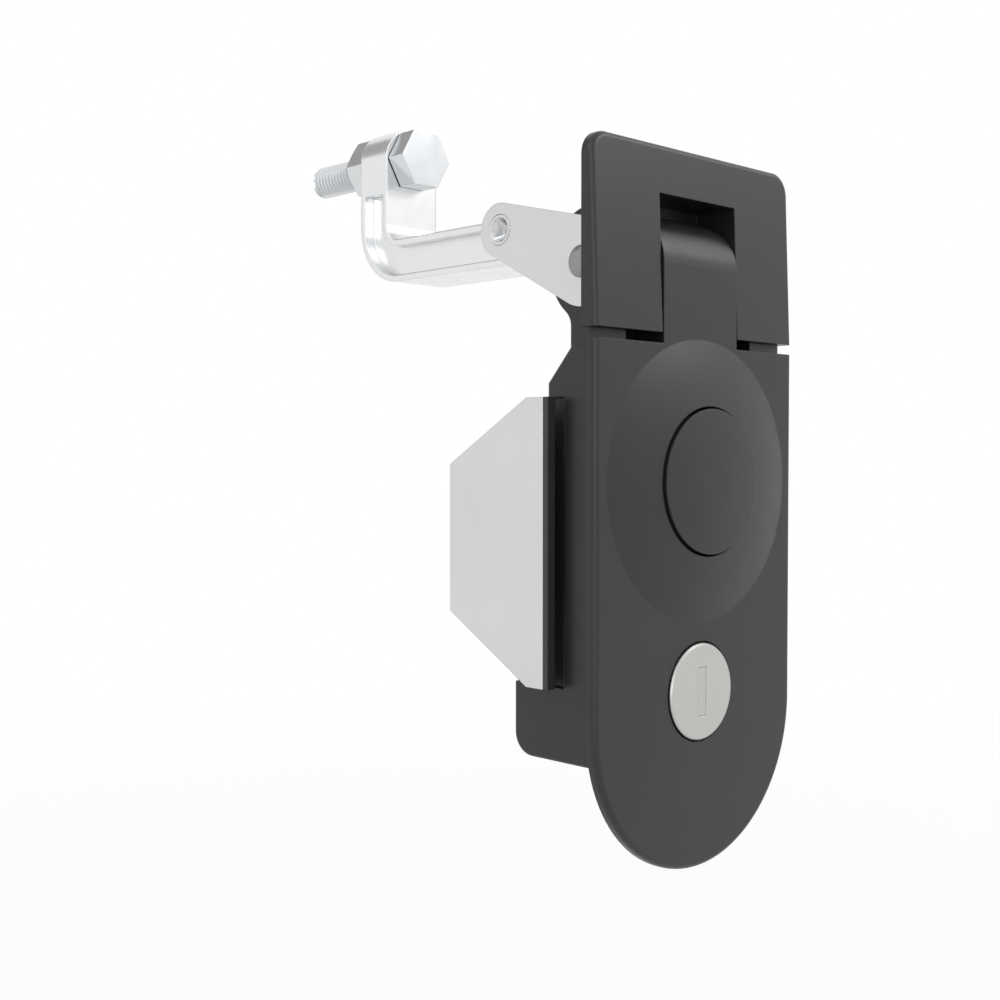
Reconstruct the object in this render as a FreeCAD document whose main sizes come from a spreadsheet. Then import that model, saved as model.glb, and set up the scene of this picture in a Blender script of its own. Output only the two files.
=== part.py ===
import FreeCAD, Part
import math
import os
import Sketcher

# Lever-type compression latch. X is right, Y goes inward through the panel, Z is up, in millimetres.
# The origin lies on the flange's seat on the panel, in the middle of the rim above the cut-out.

Vector = FreeCAD.Vector
SIZES = {
    # flange and lever outline
    "flange_width": 48.0,
    "flange_top": 3.3,
    "flange_thick": 2.8,
    "flange_lean": 1.0,
    "flange_corner": 3.5,
    "edge_round": 0.9,
    "split_height": -24.6,
    "split_gap": 1.6,
    "notch_width": 18.4,
    "notch_top": -4.0,
    "lever_end": -106.2,
    "lever_edge": 1.75,
    # rim of the housing under the lever
    "rim_inset": 1.1,
    "rim_thick": 0.8,
    # box behind the panel
    "box_bottom": -88.7,
    "box_wall": 2.2,
    "box_round": 3.5,
    "box_edge": 0.5,
    "shoulder_top": -26.6,
    "shoulder_depth": 5.7,
    "shelf_depth": 10.5,
    "shelf_top": -32.0,
    "shelf_bottom": -34.4,
    "back_top": -40.3,
    # neck and ears
    "neck_width": 31.0,
    "neck_depth": 9.9,
    "neck_top": -2.0,
    "crown_depth": 6.0,
    "ear_radius": 8.8,
    "neck_hollow": 3.0,
    "roof_wall": 1.4,
    "recess_width": 30.4,
    "recess_depth": 2.6,
    "seat_step": 0.5,
    # main pin and the lever's tongue
    "pin_height": -14.2,
    "hub_radius": 8.2,
    "pin_radius": 2.4,
    "pin_flats": 3.8,
    "pin_dome": 1.3,
    "pin_head_radius": 3.8,
    "run_gap": 0.05,
    "press_gap": 0.02,
    "side_gap": 0.3,
    # dome, button and catch
    "button_height": -46.8,
    "dome_radius": 21.6,
    "dome_rise": 2.63,
    "button_radius": 11.05,
    "button_gap": 0.35,
    "button_proud": 0.42,
    "button_wall": 1.6,
    "skirt_wall": 1.4,
    "collar_wall": 1.5,
    "collar_gap": 1.1,
    "button_travel": 2.2,
    "core_side": 4.3,
    "core_clear": 0.6,
    "core_top": -37.8,
    "core_waist": -68.8,
    "core_rise": 1.1,
    "core_depth": 7.0,
    "core_wall": 1.6,
    "cover_thick": 1.2,
    "post_radius": 2.2,
    "post_inset": 2.4,
    "slide_gap": 0.3,
    "slide_thick": 2.0,
    "slide_clear": 0.4,
    "slide_flare": 2.4,
    "slide_top": -42.0,
    "fork_width": 24.4,
    "fork_gap": 14.0,
    "fork_clear": 0.2,
    "fork_top": -71.6,
    "nose_reach": 1.6,
    "leg_side": 2.4,
    "leg_width": 2.4,
    "leg_land": 0.6,
    "ramp_gap": 0.15,
    "leg_top": 4.0,
    "leg_bottom": -2.5,
    "spring_wire": 0.6,
    "spring_radius": 2.8,
    "catch_wire": 0.4,
    "catch_radius": 1.0,
    "stop_top": -59.2,
    "stop_thick": 1.6,
    "catch_seat": -67.3,
    # lock
    "lock_height": -79.0,
    "plug_face_radius": 7.45,
    "plug_face_gap": 0.3,
    "plug_face_thick": 1.5,
    "plug_proud": 0.45,
    "plug_radius": 4.0,
    "barrel_radius": 5.4,
    "barrel_lip": 1.5,
    "barrel_clear": 0.15,
    "boss_radius": 6.4,
    "boss_gap": 0.9,
    "clip_thick": 0.7,
    "clip_groove": 0.65,
    "clip_radius": 6.6,
    "cam_gap": 0.2,
    "cam_thick": 1.4,
    "cam_clear": 1.2,
    "cam_half": 3.6,
    "cam_square": 4.4,
    "key_width": 2.0,
    "key_height": 7.5,
    "key_depth": 5.0,
    "lug_reach": 3.2,
    "lug_thick": 3.8,
    "lock_room": 2.1,
    "lug_height": 9.0,
    # links, rivet and hook
    "link_thick": 2.0,
    "link_big": 6.6,
    "link_small": 4.2,
    "link_run": 17.8,
    "link_rise": 6.8,
    "rivet_radius": 1.9,
    "rivet_flare": 2.45,
    "rivet_cup": 1.8,
    "spacer_radius": 3.0,
    "hook_width": 12.0,
    "hook_drop": 3.3,
    "hook_arm": 7.7,
    "hook_face": 65.4,
    "hook_bend": 10.8,
    "hook_inner_bend": 3.0,
    "hook_flange": 1.2,
    "hook_pocket": 2.0,
    "hook_barrel": 3.9,
    "hook_wire": 0.6,
    # adjusting bolt and nut
    "bolt_height": 12.4,
    "bolt_radius": 3.0,
    "bolt_flats": 10.0,
    "bolt_head": 4.0,
    "bolt_length": 28.0,
    "washer_face": 0.2,
    "tip_chamfer": 0.7,
    "nut_thick": 5.2,
    # mounting bracket
    "bracket_clear": 1.2,
    "bracket_plate": 1.6,
    "bracket_front": 8.7,
    "bracket_knee": 12.2,
    "bracket_back": 30.0,
    "bracket_top": -34.2,
    "bracket_bottom": -77.5,
    "bracket_back_top": -44.6,
    "bracket_back_bottom": -66.9,
    "bracket_bend": 1.2,
    "pad_thick": 1.0,
    "nest_depth": 0.8,
    "nest_front": 7.0,
    "screw_radius": 2.0,
    "screw_height": -55.8,
    "screw_pitch": 20.0,
    "screw_boss": 4.0,
    "screw_head_radius": 3.6,
    "screw_head": 2.4,
    "screw_bite": 7.0,
    "screw_socket": 2.2,
    # small screws of the cover and the cam
    "cover_screw": 1.0,
    "cover_screw_bite": 4.0,
    "cover_head_radius": 1.9,
    "cover_head": 1.1,
    "cover_socket": 1.3,
    "cam_screw": 1.08,
    "cam_screw_length": 3.5,
    "cam_head_radius": 3.2,
    "cam_head": 1.2,
    "cam_socket": 1.4,
}


class Size:
    """A length that knows both its number and the sheet expression that gives it."""

    def __init__(self, value, text):
        self.value = value
        self.text = text

    def __add__(self, other):
        other = as_size(other)
        return Size(self.value + other.value, f"({self.text} + {other.text})")

    def __sub__(self, other):
        other = as_size(other)
        return Size(self.value - other.value, f"({self.text} - {other.text})")

    def __mul__(self, factor):
        return Size(self.value * factor, f"({self.text} * {factor})")

    def __truediv__(self, factor):
        return Size(self.value / factor, f"({self.text} / {factor})")

    def __neg__(self):
        return Size(-self.value, f"(0 - {self.text})")


def as_size(number):
    return number if isinstance(number, Size) else Size(float(number), f"({float(number)})")


class Sheet:
    """Gives each alias of the spreadsheet as an attribute."""

    def __getattr__(self, name):
        return Size(SIZES[name], f"Sizes.{name}")


doc = FreeCAD.newDocument("CompressionLatch")
sheet = doc.addObject("Spreadsheet::Sheet", "Sizes")
for row, (alias, number) in enumerate(SIZES.items(), start=1):
    sheet.set(f"A{row}", alias)
    sheet.set(f"B{row}", str(number))
    sheet.setAlias(f"B{row}", alias)
doc.recompute()
s = Sheet()


def bind(item, name, size):
    item.setExpression(name, as_size(size).text)


def new_body(label):
    body = doc.addObject("PartDesign::Body", label)
    body.Label = label
    return body


# Sketches: "front" is seen from the front, X by Z, at a depth Y. "side" is Y by Z, at a place X.
# "top" is X by Y, at a height Z.
PLANES = {"front": ("XZ_Plane", -1), "side": ("YZ_Plane", 1), "top": ("XY_Plane", 1)}


def new_sketch(body, view, offset=0):
    role, sign = PLANES[view]
    sketch = body.newObject("Sketcher::SketchObject", f"{body.Label}_{view}")
    plane = [item for item in body.Origin.OriginFeatures if item.Role == role][0]
    sketch.AttachmentSupport = (plane, [""])
    sketch.MapMode = "FlatFace"
    place = as_size(offset) * sign
    sketch.AttachmentOffset = FreeCAD.Placement(Vector(0, 0, place.value), FreeCAD.Rotation())
    bind(sketch, "AttachmentOffset.Base.z", place)
    return sketch


def pin_point(sketch, geometry, end, x, y):
    for kind, size in (("DistanceX", as_size(x)), ("DistanceY", as_size(y))):
        index = sketch.addConstraint(Sketcher.Constraint(kind, -1, 1, geometry, end, size.value))
        sketch.setExpression(f"Constraints[{index}]", size.text)


def add_polygon(sketch, points):
    """Closed outline through points, each a pair of sizes."""
    points = [(as_size(x), as_size(y)) for x, y in points]
    first = sketch.GeometryCount
    count = len(points)
    for i, (x, y) in enumerate(points):
        nx, ny = points[(i + 1) % count]
        line = Part.LineSegment(Vector(x.value, y.value, 0), Vector(nx.value, ny.value, 0))
        sketch.addGeometry(line, False)
    for i in range(count):
        follower = first + (i + 1) % count
        sketch.addConstraint(Sketcher.Constraint("Coincident", first + i, 2, follower, 1))
    for i, (x, y) in enumerate(points):
        pin_point(sketch, first + i, 1, x, y)


def add_box(sketch, x0, x1, y0, y1):
    add_polygon(sketch, [(x0, y0), (x1, y0), (x1, y1), (x0, y1)])


def add_circle(sketch, x, y, radius):
    x, y, radius = as_size(x), as_size(y), as_size(radius)
    circle = Part.Circle(Vector(x.value, y.value, 0), Vector(0, 0, 1), radius.value)
    index = sketch.addGeometry(circle, False)
    pin_point(sketch, index, 3, x, y)
    ring = sketch.addConstraint(Sketcher.Constraint("Radius", index, radius.value))
    sketch.setExpression(f"Constraints[{ring}]", radius.text)


def add_tear_drop(sketch, centre_a, radius_a, centre_b, radius_b):
    """Two round ends joined by their outer tangents."""
    (ax, ay), (bx, by) = [[as_size(v) for v in c] for c in (centre_a, centre_b)]
    run, rise = bx.value - ax.value, by.value - ay.value
    base = math.atan2(rise, run)
    turn = math.acos((radius_a.value - radius_b.value) / math.hypot(run, rise))
    low, high = base - turn, base + turn
    up = Vector(0, 0, 1)
    circle_a = Part.Circle(Vector(ax.value, ay.value, 0), up, radius_a.value)
    circle_b = Part.Circle(Vector(bx.value, by.value, 0), up, radius_b.value)
    arc_a = sketch.addGeometry(Part.ArcOfCircle(circle_a, high, low + 2 * math.pi), False)
    arc_b = sketch.addGeometry(Part.ArcOfCircle(circle_b, low, high), False)
    a_low, a_high = circle_a.value(low), circle_a.value(high)
    b_low, b_high = circle_b.value(low), circle_b.value(high)
    under = sketch.addGeometry(Part.LineSegment(a_low, b_low), False)
    over = sketch.addGeometry(Part.LineSegment(b_high, a_high), False)
    for pair in ((arc_a, 2, under, 1), (under, 2, arc_b, 1), (arc_b, 2, over, 1), (over, 2, arc_a, 1)):
        sketch.addConstraint(Sketcher.Constraint("Tangent", *pair))
    for arc, centre, radius in ((arc_a, (ax, ay), radius_a), (arc_b, (bx, by), radius_b)):
        pin_point(sketch, arc, 3, *centre)
        index = sketch.addConstraint(Sketcher.Constraint("Radius", arc, radius.value))
        sketch.setExpression(f"Constraints[{index}]", radius.text)


def add_tongue_shape(sketch, half, top, centre):
    """Straight sides from the top down to a half-round end about the centre's height."""
    half, top, centre = as_size(half), as_size(top), as_size(centre)
    w, t, c = half.value, top.value, centre.value
    corners = [Vector(-w, c, 0), Vector(-w, t, 0), Vector(w, t, 0), Vector(w, c, 0)]
    lines = []
    for start, end in zip(corners, corners[1:]):
        lines.append(sketch.addGeometry(Part.LineSegment(start, end), False))
    round_end = Part.Circle(Vector(0, c, 0), Vector(0, 0, 1), w)
    arc = sketch.addGeometry(Part.ArcOfCircle(round_end, math.pi, 2 * math.pi), False)
    for a, b in ((0, 1), (1, 2)):
        sketch.addConstraint(Sketcher.Constraint("Coincident", lines[a], 2, lines[b], 1))
    sketch.addConstraint(Sketcher.Constraint("Coincident", arc, 1, lines[0], 1))
    sketch.addConstraint(Sketcher.Constraint("Coincident", arc, 2, lines[2], 2))
    for line, end, x, y in ((lines[0], 1, -half, centre), (lines[1], 1, -half, top)):
        pin_point(sketch, line, end, x, y)
    for line, end, x, y in ((lines[1], 2, half, top), (lines[2], 2, half, centre)):
        pin_point(sketch, line, end, x, y)
    index = sketch.addConstraint(Sketcher.Constraint("DistanceY", -1, 1, arc, 3, centre.value))
    sketch.setExpression(f"Constraints[{index}]", centre.text)


def volume(body):
    doc.recompute()
    return body.Shape.Volume


def extrude(body, sketch, length, kind, symmetric=False, reversed_side=False):
    before = volume(body) if body.Tip and kind == "Pocket" else 0
    feature = body.newObject(f"PartDesign::{kind}", f"{body.Label}_{kind}")
    feature.Profile = sketch
    bind(feature, "Length", length)
    if symmetric:
        feature.SideType = "Symmetric"
    feature.Reversed = reversed_side
    after = volume(body)
    if kind == "Pocket" and not after < before - 1e-6:
        raise RuntimeError(f"{feature.Name} cut nothing from {body.Label}")
    return feature


def add_inward(body, outline, start, length):
    """Material from the depth start, growing inward along +Y."""
    sketch = new_sketch(body, "front", start)
    outline(sketch)
    return extrude(body, sketch, length, "Pad", reversed_side=True)


def cut_inward(body, outline, start, length):
    sketch = new_sketch(body, "front", start)
    outline(sketch)
    return extrude(body, sketch, length, "Pocket")


def add_across(body, outline, width):
    """Material of a side profile, as wide as given and centred on the mid-plane."""
    sketch = new_sketch(body, "side")
    outline(sketch)
    return extrude(body, sketch, width, "Pad", symmetric=True)


def cut_across(body, outline, width):
    sketch = new_sketch(body, "side")
    outline(sketch)
    return extrude(body, sketch, width, "Pocket", symmetric=True)


def add_sideways(body, outline, start, length):
    """Material of a side profile from the place start, growing along +X."""
    sketch = new_sketch(body, "side", start)
    outline(sketch)
    return extrude(body, sketch, length, "Pad")


def cut_sideways(body, outline, start, length):
    sketch = new_sketch(body, "side", start)
    outline(sketch)
    return extrude(body, sketch, length, "Pocket", reversed_side=True)


def cut_upward(body, outline, start, length):
    sketch = new_sketch(body, "top", start)
    outline(sketch)
    return extrude(body, sketch, length, "Pocket", reversed_side=True)


def turn_profile(body, kind, view, outline, axis_from, axis_to):
    """Revolution or groove of a profile about a construction line."""
    sketch = new_sketch(body, view)
    outline(sketch)
    ends = [[as_size(v) for v in end] for end in (axis_from, axis_to)]
    points = [Vector(x.value, y.value, 0) for x, y in ends]
    axis = sketch.addGeometry(Part.LineSegment(*points), True)
    for index, (x, y) in enumerate(ends, start=1):
        pin_point(sketch, axis, index, x, y)
    feature = body.newObject(f"PartDesign::{kind}", f"{body.Label}_{kind}")
    feature.Profile = sketch
    feature.ReferenceAxis = (sketch, ["Axis0"])
    feature.Angle = 360
    doc.recompute()
    return feature


def edges_where(body, test):
    shape = body.Tip.Shape
    return [f"Edge{i}" for i, edge in enumerate(shape.Edges, start=1) if test(edge)]


def soften(body, kind, size, test):
    """Fillet or chamfer on the edges that pass the test."""
    names = edges_where(body, test)
    if not names:
        raise RuntimeError(f"{body.Label} has no edge to soften")
    base = body.Tip
    feature = body.newObject(f"PartDesign::{kind}", f"{body.Label}_{kind}")
    feature.Base = (base, names)
    bind(feature, "Radius" if kind == "Fillet" else "Size", size)
    doc.recompute()
    return feature


def near(value, size):
    return abs(value - as_size(size).value) < 0.01


def along(edge, axis):
    """True for a straight edge that runs along X, Y or Z."""
    if not isinstance(edge.Curve, Part.Line):
        return False
    direction = edge.Curve.Direction
    return abs(abs(getattr(direction, axis)) - 1) < 1e-6


def middle(edge):
    return edge.CenterOfMass


# Places that several pieces share. The box is as wide as the button's collar needs and as deep as the lock.
front = -s.flange_thick
half_width = s.flange_width / 2
lever_top = s.split_height - s.split_gap
lever_back = front + s.lever_edge
end_centre = s.lever_end + half_width
pin_depth = s.hub_radius - s.flange_thick
tongue_half = s.notch_width / 2 - s.side_gap
roof_width = s.notch_width + s.roof_wall
ear_outer = s.neck_width / 2
link_inner = ear_outer + s.side_gap
link_outer = link_inner + s.link_thick
rivet_depth = pin_depth + s.link_run
rivet_height = s.pin_height + s.link_rise
bore_radius = s.button_radius + s.button_gap
core_half = bore_radius + s.collar_wall + s.core_side
post_x = core_half - s.core_wall - s.post_inset
slide_half = post_x - s.post_radius - s.slide_clear
leg_outer = slide_half - s.leg_side
leg_inner = leg_outer - s.leg_width
nose_inner = s.fork_gap / 2
nose_outer = s.fork_width / 2
foot_half = nose_outer + s.fork_clear + s.core_wall
slide_back = s.core_depth - s.slide_gap
slide_front = slide_back - s.slide_thick
collar_depth = slide_front - s.collar_gap
boss_end = s.core_depth - s.boss_gap
cover_front = s.core_depth
cover_back = s.core_depth + s.cover_thick
barrel_end = cover_back + s.clip_thick + s.barrel_lip
cam_front = barrel_end + s.cam_gap
cam_back = cam_front + s.cam_thick
box_inner = core_half + s.core_clear
box_half = box_inner + s.box_wall
box_floor = cam_back + s.cam_head + s.lock_room
box_depth = box_floor + s.box_wall
box_inner_bottom = s.box_bottom + s.box_wall
core_bottom = box_inner_bottom + s.core_rise
cam_reach = box_inner - s.cam_clear
inner_back = s.bracket_back - s.bracket_plate
screw_places = (-s.screw_pitch / 2, s.screw_pitch / 2)
arm_inner = box_half + s.bracket_clear
arm_outer = arm_inner + s.bracket_plate


# Housing: flange, rim, box, neck and ears as one moulding
housing = new_body("housing")
add_across(housing, lambda k: add_circle(k, pin_depth, s.pin_height, s.ear_radius), s.neck_width)
add_across(housing, lambda k: add_box(k, 0, s.neck_depth, s.shelf_bottom, s.pin_height), s.neck_width)
soften(
    housing,
    "Fillet",
    s.neck_hollow,
    lambda e: along(e, "x") and near(middle(e).y, s.neck_depth) and s.shelf_bottom.value + 1 < middle(e).z,
)
add_across(housing, lambda k: add_box(k, 0, s.crown_depth, s.pin_height, s.neck_top), s.neck_width)
roof_radius = s.hub_radius + s.side_gap + s.roof_wall
add_across(housing, lambda k: add_circle(k, pin_depth, s.pin_height, roof_radius), roof_width)
cut_across(
    housing,
    lambda k: add_box(k, -s.flange_width, 0, s.pin_height * 4, s.flange_width),
    s.flange_width,
)
flange_profile = [
    (0, s.split_height),
    (front, s.split_height),
    (front + s.flange_lean, s.flange_top),
    (0, s.flange_top),
]
add_across(housing, lambda k: add_polygon(k, flange_profile), s.flange_width)
soften(housing, "Fillet", s.flange_corner, lambda e: near(middle(e).z, s.flange_top) and along(e, "y"))
soften(
    housing,
    "Fillet",
    s.edge_round,
    lambda e: middle(e).y < front.value + s.flange_lean.value + 0.05
    and not near(middle(e).z, s.split_height)
    and not along(e, "y"),
)
rim_half = half_width - s.rim_inset
add_inward(
    housing,
    lambda k: add_tongue_shape(k, rim_half, s.split_height, end_centre),
    -s.rim_thick,
    s.rim_thick,
)
box_profile = [
    (0, s.box_bottom),
    (box_depth, s.box_bottom),
    (box_depth, s.back_top),
    (s.shelf_depth, s.shelf_bottom),
    (s.shelf_depth, s.shelf_top),
    (s.shoulder_depth, s.shoulder_top),
    (0, s.shoulder_top),
]
add_across(housing, lambda k: add_polygon(k, box_profile), box_half * 2)
soften(
    housing,
    "Fillet",
    s.box_round,
    lambda e: along(e, "x") and near(middle(e).y, box_depth) and near(middle(e).z, s.box_bottom),
)
soften(
    housing,
    "Fillet",
    s.box_edge,
    lambda e: near(abs(middle(e).x), box_half)
    and middle(e).y > s.shoulder_depth.value + 0.3
    and not along(e, "y"),
)
cavity_profile = [
    (-s.rim_thick, box_inner_bottom),
    (box_floor, box_inner_bottom),
    (box_floor, s.back_top - s.box_wall / 2),
    (s.shelf_depth - s.box_wall, s.shelf_bottom - s.box_wall / 2),
    (s.shelf_depth - s.box_wall, s.shelf_top - s.box_wall / 2),
    (s.shoulder_depth - s.box_wall / 2, s.shoulder_top - s.box_wall),
    (-s.rim_thick, s.shoulder_top - s.box_wall),
]
cut_across(housing, lambda k: add_polygon(k, cavity_profile), box_inner * 2)
# slot for the tongue: open at the front and below the pin, closed by a thin roof round the hub above it
slot_foot = s.shoulder_top - s.box_wall - 0.5
cut_across(
    housing, lambda k: add_circle(k, pin_depth, s.pin_height, s.hub_radius + s.side_gap), s.notch_width
)
cut_across(
    housing, lambda k: add_box(k, -s.flange_width, pin_depth, s.pin_height, s.notch_top), s.notch_width
)
cut_across(
    housing, lambda k: add_box(k, -s.flange_width, s.flange_width, slot_foot, s.pin_height), s.notch_width
)
# shallow recess beside the tongue, seen dark through the split
cut_inward(
    housing,
    lambda k: add_box(
        k, -s.recess_width / 2, s.recess_width / 2, slot_foot, s.split_height + 2.0
    ),
    -s.rim_thick,
    s.recess_depth + s.rim_thick,
)
cut_across(
    housing, lambda k: add_circle(k, pin_depth, s.pin_height, s.pin_radius + s.run_gap), s.neck_width * 2
)
# relief in the flange's back for the round ends of the links, in a shallow step that keeps the pin's ends
# clear of the panel's edge
for start in (-link_outer - s.side_gap, ear_outer):
    cut_sideways(
        housing,
        lambda k: add_circle(k, pin_depth, s.pin_height, s.link_big + s.side_gap),
        start,
        s.link_thick + s.side_gap * 2,
    )
step_outer = link_outer + s.pin_dome * 1.2 + s.side_gap
step_low = s.pin_height - s.link_big - s.side_gap
for start in (-step_outer, ear_outer):
    cut_inward(
        housing,
        lambda k: add_box(k, start, start + step_outer - ear_outer, step_low, s.neck_top),
        -s.seat_step,
        s.seat_step,
    )
# keepers for the two noses of the catch, in the bottom wall
def mirrored(low, high, side):
    """The two ends of a span, or of its mirror image, from left to right."""
    return (low, high) if side > 0 else (-high, -low)


def keeper_outline(sketch, side):
    left, right = mirrored(nose_inner - s.side_gap, nose_outer + s.side_gap, side)
    add_box(sketch, left, right, slide_front - s.side_gap, slide_back + s.side_gap)


for side in (-1, 1):
    cut_upward(housing, lambda k: keeper_outline(k, side), s.box_bottom - 1, s.box_wall + 2)
# lug that the lock's cam swings behind
add_inward(
    housing,
    lambda k: add_box(
        k,
        box_inner - s.lug_reach,
        box_inner + 0.5,
        s.lock_height - s.lug_height / 2,
        s.lock_height + s.lug_height / 2,
    ),
    cam_front - s.side_gap - s.lug_thick,
    s.lug_thick,
)
# screw bosses on the back, and the nests beside the bracket's arms
for x in screw_places:
    add_inward(
        housing,
        lambda k: add_circle(k, x, s.screw_height, s.screw_boss),
        box_depth - 0.5,
        inner_back - box_depth + 0.5,
    )
for x in screw_places:
    cut_inward(
        housing,
        lambda k: add_circle(k, x, s.screw_height, s.screw_radius),
        inner_back - s.screw_bite,
        s.screw_bite + 1,
    )
for side in (-1, 1):
    low_x, high_x = mirrored(box_half - s.nest_depth, box_half, side)
    cut_inward(
        housing,
        lambda k: add_box(k, low_x, high_x, s.bracket_bottom, s.bracket_top),
        s.nest_front,
        box_depth,
    )


# Lever: front plate with dome, tongue, and the open core behind it
lever = new_body("lever")
add_inward(lever, lambda k: add_tongue_shape(k, half_width, lever_top, end_centre), front, s.lever_edge)
soften(
    lever,
    "Fillet",
    s.edge_round,
    lambda e: near(middle(e).y, front) and not near(middle(e).z, lever_top),
)
tongue_profile = [
    (front, lever_top - 4),
    (front, s.pin_height),
    (pin_depth + s.hub_radius / 2, s.pin_height),
    (lever_back + 4, lever_top - 4),
]
add_across(lever, lambda k: add_polygon(k, tongue_profile), tongue_half * 2)
add_across(lever, lambda k: add_circle(k, pin_depth, s.pin_height, s.hub_radius), tongue_half * 2)


def dome_profile(sketch, radius, rise, apex, back):
    """Quarter section of a shallow cap about the button's axis, apex towards the front."""
    sphere = (radius.value**2 + rise.value**2) / (2 * rise.value)
    centre_y = apex.value + sphere
    mid = s.button_height.value
    circle = Part.Circle(Vector(centre_y, mid, 0), Vector(0, 0, 1), sphere)
    spread = math.asin(radius.value / sphere)
    arc = sketch.addGeometry(Part.ArcOfCircle(circle, math.pi - spread, math.pi), False)
    top = Vector(apex.value + rise.value, mid + radius.value, 0)
    corner = Vector(back.value, mid + radius.value, 0)
    foot = Vector(back.value, mid, 0)
    tip = Vector(apex.value, mid, 0)
    sides = ((tip, foot), (foot, corner), (corner, top))
    lines = [sketch.addGeometry(Part.LineSegment(a, b), False) for a, b in sides]
    sketch.addConstraint(Sketcher.Constraint("Coincident", arc, 2, lines[0], 1))
    sketch.addConstraint(Sketcher.Constraint("Coincident", lines[0], 2, lines[1], 1))
    sketch.addConstraint(Sketcher.Constraint("Coincident", lines[1], 2, lines[2], 1))
    sketch.addConstraint(Sketcher.Constraint("Coincident", lines[2], 2, arc, 1))
    pin_point(sketch, lines[0], 1, apex, s.button_height)
    pin_point(sketch, lines[1], 1, back, s.button_height)
    pin_point(sketch, lines[1], 2, back, s.button_height + radius)
    pin_point(sketch, lines[2], 2, apex + rise, s.button_height + radius)
    index = sketch.addConstraint(Sketcher.Constraint("DistanceY", -1, 1, arc, 3, mid))
    sketch.setExpression(f"Constraints[{index}]", s.button_height.text)


turn_profile(
    lever,
    "Revolution",
    "side",
    lambda k: dome_profile(k, s.dome_radius, s.dome_rise, front - s.dome_rise, lever_back - 0.5),
    (front, s.button_height),
    (lever_back, s.button_height),
)


def core_outline(sketch, inset):
    wide, foot = core_half - inset, foot_half - inset
    top, waist, low = s.core_top - inset, s.core_waist + inset, core_bottom + inset
    right = [(foot, low), (foot, waist), (wide, waist), (wide, top)]
    add_polygon(sketch, right + [(-x, z) for x, z in reversed(right)])


add_inward(lever, lambda k: core_outline(k, as_size(0)), lever_back - 0.2, s.core_depth - lever_back + 0.2)
cut_inward(lever, lambda k: core_outline(k, s.core_wall), lever_back, s.core_depth - lever_back + 1)
add_inward(
    lever,
    lambda k: add_circle(k, 0, s.button_height, bore_radius + s.collar_wall),
    lever_back - 0.2,
    collar_depth - lever_back + 0.2,
)
cut_inward(
    lever,
    lambda k: add_circle(k, 0, s.button_height, bore_radius),
    front - s.dome_rise * 2,
    collar_depth - front + s.dome_rise * 2,
)
post_high = s.core_top - s.core_wall - s.post_inset
post_low = s.core_waist + s.core_wall + s.post_inset
posts = [(post_x * side, height) for side in (-1, 1) for height in (post_high, post_low)]
for x, z in posts:
    add_inward(
        lever,
        lambda k: add_circle(k, x, z, s.post_radius),
        lever_back - 0.2,
        s.core_depth - lever_back + 0.2,
    )
for x, z in posts:
    cut_inward(
        lever,
        lambda k: add_circle(k, x, z, s.cover_screw),
        s.core_depth - s.cover_screw_bite - 1,
        s.cover_screw_bite + 2,
    )
# boss for the lock's barrel, its bore and the seat of the plug's face
add_inward(
    lever,
    lambda k: add_circle(k, 0, s.lock_height, s.boss_radius),
    lever_back - 0.2,
    boss_end - lever_back + 0.2,
)
cut_inward(
    lever,
    lambda k: add_circle(k, 0, s.lock_height, s.barrel_radius + s.press_gap),
    front - 1,
    boss_end - front + 2,
)
face_seat = s.plug_face_thick - s.plug_proud + 0.1
cut_inward(
    lever,
    lambda k: add_circle(k, 0, s.lock_height, s.plug_face_radius + s.plug_face_gap),
    front - 1,
    face_seat + 1,
)
# stop for the catch's spring, and openings in the bottom wall for the two noses
stop_half = s.catch_radius + s.catch_wire
add_inward(
    lever,
    lambda k: add_box(k, -stop_half, stop_half, s.stop_top - s.stop_thick, s.stop_top),
    lever_back - 0.2,
    slide_back - lever_back + 0.2,
)
for side in (-1, 1):
    low_x, high_x = mirrored(nose_inner - s.side_gap, nose_outer + s.side_gap / 2, side)
    cut_inward(
        lever,
        lambda k: add_box(k, low_x, high_x, core_bottom - 1, core_bottom + s.core_wall + 0.5),
        slide_front - s.side_gap,
        s.core_depth,
    )


def flat_bore(sketch, gap):
    """Square-sided opening with round ends: two flats on a round pin."""
    half_flat = s.pin_flats.value / 2 + gap.value
    radius = s.pin_radius.value + gap.value
    cy, cz = pin_depth.value, s.pin_height.value
    reach = math.sqrt(radius**2 - half_flat**2)
    angle = math.atan2(half_flat, reach)
    circle = Part.Circle(Vector(cy, cz, 0), Vector(0, 0, 1), radius)
    right = sketch.addGeometry(Part.ArcOfCircle(circle, -angle, angle), False)
    left = sketch.addGeometry(Part.ArcOfCircle(circle, math.pi - angle, math.pi + angle), False)
    signs = ((1, 1), (-1, 1), (-1, -1), (1, -1))
    corner = [Vector(cy + reach * i, cz + half_flat * j, 0) for i, j in signs]
    over = sketch.addGeometry(Part.LineSegment(corner[0], corner[1]), False)
    under = sketch.addGeometry(Part.LineSegment(corner[2], corner[3]), False)
    for pair in ((right, 2, over, 1), (over, 2, left, 1), (left, 2, under, 1), (under, 2, right, 1)):
        sketch.addConstraint(Sketcher.Constraint("Coincident", *pair))
    for line in (over, under):
        sketch.addConstraint(Sketcher.Constraint("Horizontal", line))
    pin_point(sketch, right, 3, pin_depth, s.pin_height)
    sketch.addConstraint(Sketcher.Constraint("Coincident", right, 3, left, 3))
    index = sketch.addConstraint(Sketcher.Constraint("Radius", right, radius))
    sketch.setExpression(f"Constraints[{index}]", (s.pin_radius + gap).text)
    sketch.addConstraint(Sketcher.Constraint("Equal", right, left))
    index = sketch.addConstraint(Sketcher.Constraint("DistanceY", under, 1, over, 1, 2 * half_flat))
    sketch.setExpression(f"Constraints[{index}]", (s.pin_flats + gap * 2).text)


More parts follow.
